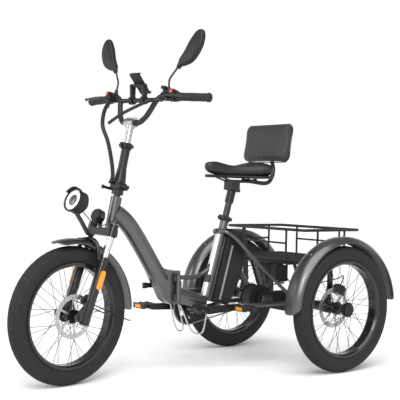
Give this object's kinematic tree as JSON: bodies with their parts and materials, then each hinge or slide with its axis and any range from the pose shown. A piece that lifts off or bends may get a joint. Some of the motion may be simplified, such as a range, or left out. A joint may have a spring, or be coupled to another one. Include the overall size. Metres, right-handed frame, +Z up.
{
  "type": "adult tricycle",
  "caption": "Folding fat-tyre electric tricycle: suspension fork, telescopic folding stem, sprung saddle with backrest, hub motor, rear wire basket and mudguards.",
  "frame": {"origin": "centre of the bounding box on the ground, where all three tyres stand", "axes": "+X to the rider's left, -Y towards the front wheel, +Z up"},
  "size_m": [0.854, 1.7471, 1.4293],
  "materials": {
    "alloy": "satin",
    "black_paint": "satin black powder coat",
    "black_plastic": "matte",
    "bright": "brushed",
    "cable": "satin",
    "chain": "oiled steel",
    "chrome": "polished",
    "dark_alloy": "anodised",
    "frame_paint": "satin graphite paint",
    "grey_plastic": "fine matte",
    "guard": "satin charcoal",
    "mirror": "gloss shell with glass face",
    "red": "gloss",
    "rubber": "matte",
    "tyre": "matte rubber",
    "vinyl": "soft grained"
  },
  "bodies": {
    "rear_frame": {"rear_frame": "frame_paint", "seat_tube_fittings": "alloy", "axle_carrier": "black_paint", "chain": "chain", "derailleur": "dark_alloy", "fold_stand": "bright", "rear_mudguards": "guard", "rear_calipers": "dark_alloy", "controller_box": "grey_plastic", "basket": "black_paint", "rear_cables": "cable"},
    "front_frame": {"front_frame": "frame_paint", "control_cables": "cable"},
    "frame_latch": {"frame_latch": "black_paint"},
    "seat_clamp_lever": {"seat_clamp_lever": "black_paint"},
    "battery": {"battery": "black_plastic"},
    "seat_post": {"seat_post": "dark_alloy"},
    "saddle": {"saddle_frame": "black_paint", "saddle": "vinyl", "backrest_pad": "vinyl"},
    "crankset": {"crank_left": "dark_alloy", "crank_right": "dark_alloy"},
    "pedal_left": {"pedal_left": "rubber"},
    "pedal_right": {"pedal_right": "rubber"},
    "motor_hub": {"motor_hub": "dark_alloy"},
    "left_wheel": {"left_tyre": "tyre", "left_rim": "black_paint", "left_spokes": "bright", "left_hub": "dark_alloy"},
    "right_wheel": {"right_tyre": "tyre", "right_rim": "black_paint", "right_spokes": "bright", "right_hub": "dark_alloy"},
    "steering": {"fork_crown": "black_paint", "stanchions": "chrome", "horn": "black_plastic", "stem_base": "dark_alloy"},
    "fork_lowers": {"fork_lowers": "black_paint", "front_mudguard": "guard", "front_caliper": "dark_alloy", "headlight": "black_plastic"},
    "front_wheel": {"front_tyre": "tyre", "front_rim": "black_paint", "front_spokes": "bright", "front_hub": "dark_alloy"},
    "stem_lower": {"stem_lower": "black_paint"},
    "stem_latch": {"stem_latch": "dark_alloy"},
    "stem_lever": {"stem_lever": "black_paint"},
    "stem_upper": {"stem_upper": "bright"},
    "handlebar": {"handlebar": "black_paint", "grips": "rubber", "bar_fittings": "black_plastic"},
    "brake_lever_left": {"brake_lever_left": "black_paint"},
    "brake_lever_right": {"brake_lever_right": "black_paint"},
    "button_left": {"button_left": "red"},
    "button_right": {"button_right": "red"},
    "throttle": {"throttle": "black_plastic"},
    "phone_plate": {"phone_plate": "black_plastic"},
    "mirror_left": {"mirror_left": "mirror"},
    "mirror_right": {"mirror_right": "mirror"}
  },
  "joints": [
    {"name": "frame_fold", "type": "hinge", "parent": "rear_frame", "child": "front_frame", "pos_m": [0.044, -0.09303, 0.363], "axis": [0, 0, 1], "range_deg": [0, 110]},
    {"name": "frame_latch_swing", "type": "hinge", "parent": "front_frame", "child": "frame_latch", "pos_m": [-0.046, -0.10303, 0.363], "axis": [0, 0, 1], "range_deg": [-110, 0]},
    {"name": "seat_clamp_swing", "type": "hinge", "parent": "rear_frame", "child": "seat_clamp_lever", "pos_m": [0.019, 0.16209, 0.66027], "axis": [0, 0.2672, 0.9636], "range_deg": [-100, 0]},
    {"name": "battery_slide", "type": "slide", "parent": "rear_frame", "child": "battery", "axis": [0, 0.2672, 0.9636], "range_m": [0, 0.15]},
    {"name": "seat_height", "type": "slide", "parent": "rear_frame", "child": "seat_post", "axis": [0, 0.2672, 0.9636], "range_m": [-0.04, 0.1]},
    {"name": "seat_spring", "type": "slide", "parent": "seat_post", "child": "saddle", "axis": [0, 0.2672, 0.9636], "range_m": [-0.018, 0], "stiffness_N_per_m": 50000, "springref_m": 0.01},
    {"name": "crank_spin", "type": "hinge", "parent": "rear_frame", "child": "crankset", "pos_m": [0, 0.03297, 0.266], "axis": [1, 0, 0], "continuous": true},
    {"name": "pedal_left_spin", "type": "hinge", "parent": "crankset", "child": "pedal_left", "pos_m": [0, 0.19797, 0.27], "axis": [1, 0, 0], "continuous": true},
    {"name": "pedal_right_spin", "type": "hinge", "parent": "crankset", "child": "pedal_right", "pos_m": [0, -0.13203, 0.27], "axis": [1, 0, 0], "continuous": true},
    {"name": "motor_spin", "type": "hinge", "parent": "rear_frame", "child": "motor_hub", "pos_m": [0, 0.37997, 0.29], "axis": [1, 0, 0], "continuous": true},
    {"name": "left_wheel_spin", "type": "hinge", "parent": "rear_frame", "child": "left_wheel", "pos_m": [0.383, 0.54497, 0.275], "axis": [1, 0, 0], "continuous": true},
    {"name": "right_wheel_spin", "type": "hinge", "parent": "rear_frame", "child": "right_wheel", "pos_m": [-0.383, 0.54497, 0.275], "axis": [1, 0, 0], "continuous": true},
    {"name": "steering", "type": "hinge", "parent": "front_frame", "child": "steering", "pos_m": [0, -0.40909, 0.609], "axis": [0, 0.1994, 0.9799], "range_deg": [-52.6, 37.4], "deforming": ["control_cables"]},
    {"name": "fork_travel", "type": "slide", "parent": "steering", "child": "fork_lowers", "axis": [-0.0175, 0.3261, 0.9452], "range_m": [0, 0.036], "stiffness_N_per_m": 25000, "springref_m": -0.02, "deforming": ["control_cables"]},
    {"name": "front_wheel_spin", "type": "hinge", "parent": "fork_lowers", "child": "front_wheel", "pos_m": [0.0162, -0.60097, 0.27492], "axis": [0.9912, 0.1296, -0.0264], "continuous": true},
    {"name": "stem_fold", "type": "hinge", "parent": "steering", "child": "stem_lower", "pos_m": [0.02874, -0.36905, 0.78658], "axis": [-0.1323, 0.9713, -0.1976], "range_deg": [0, 70], "deforming": ["control_cables"]},
    {"name": "stem_latch_swing", "type": "hinge", "parent": "steering", "child": "stem_latch", "pos_m": [-0.03608, -0.36172, 0.77489], "axis": [0, 0.1994, 0.9799], "range_deg": [-100, 0]},
    {"name": "stem_lever_swing", "type": "hinge", "parent": "stem_lower", "child": "stem_lever", "pos_m": [0.02201, -0.36036, 0.95524], "axis": [0, 0.1994, 0.9799], "range_deg": [-100, 0]},
    {"name": "stem_height", "type": "slide", "parent": "stem_lower", "child": "stem_upper", "axis": [0, 0.1994, 0.9799], "range_m": [-0.05, 0.08], "deforming": ["control_cables"]},
    {"name": "handlebar_tilt", "type": "hinge", "parent": "stem_upper", "child": "handlebar", "pos_m": [0, -0.31977, 1.04801], "axis": [0.9912, 0.1296, -0.0264], "range_deg": [-20, 20], "deforming": ["control_cables"]},
    {"name": "brake_lever_left_pull", "type": "hinge", "parent": "handlebar", "child": "brake_lever_left", "pos_m": [0.17224, -0.27566, 1.15741], "axis": [0, 0.1994, 0.9799], "range_deg": [0, 10], "stiffness_Nm_per_rad": 3, "springref_deg": -8.59},
    {"name": "button_left_press", "type": "slide", "parent": "handlebar", "child": "button_left", "axis": [-0.3024, 0.9341, -0.19], "range_m": [0, 0.002], "stiffness_N_per_m": 600, "springref_m": -0.002},
    {"name": "brake_lever_right_pull", "type": "hinge", "parent": "handlebar", "child": "brake_lever_right", "pos_m": [-0.17183, -0.32064, 1.16656], "axis": [0, -0.1994, -0.9799], "range_deg": [0, 10], "stiffness_Nm_per_rad": 3, "springref_deg": -8.59},
    {"name": "button_right_press", "type": "slide", "parent": "handlebar", "child": "button_right", "axis": [0.0419, 0.9791, -0.1992], "range_m": [0, 0.002], "stiffness_N_per_m": 600, "springref_m": -0.002},
    {"name": "throttle_push", "type": "hinge", "parent": "handlebar", "child": "throttle", "pos_m": [-0.21534, -0.29336, 1.16101], "axis": [-0.9991, 0.041, -0.0083], "range_deg": [0, 40], "stiffness_Nm_per_rad": 0.3, "springref_deg": -17.19},
    {"name": "phone_tilt", "type": "hinge", "parent": "handlebar", "child": "phone_plate", "pos_m": [0, -0.28787, 1.20479], "axis": [0.9912, 0.1296, -0.0264], "range_deg": [-25, 25]},
    {"name": "mirror_left_turn", "type": "hinge", "parent": "handlebar", "child": "mirror_left", "pos_m": [0.16046, -0.2502, 1.16447], "axis": [0, 0.1994, 0.9799], "range_deg": [-40, 40]},
    {"name": "mirror_right_turn", "type": "hinge", "parent": "handlebar", "child": "mirror_right", "pos_m": [-0.16664, -0.29296, 1.17317], "axis": [0, 0.1994, 0.9799], "range_deg": [-40, 40]}
  ]
}
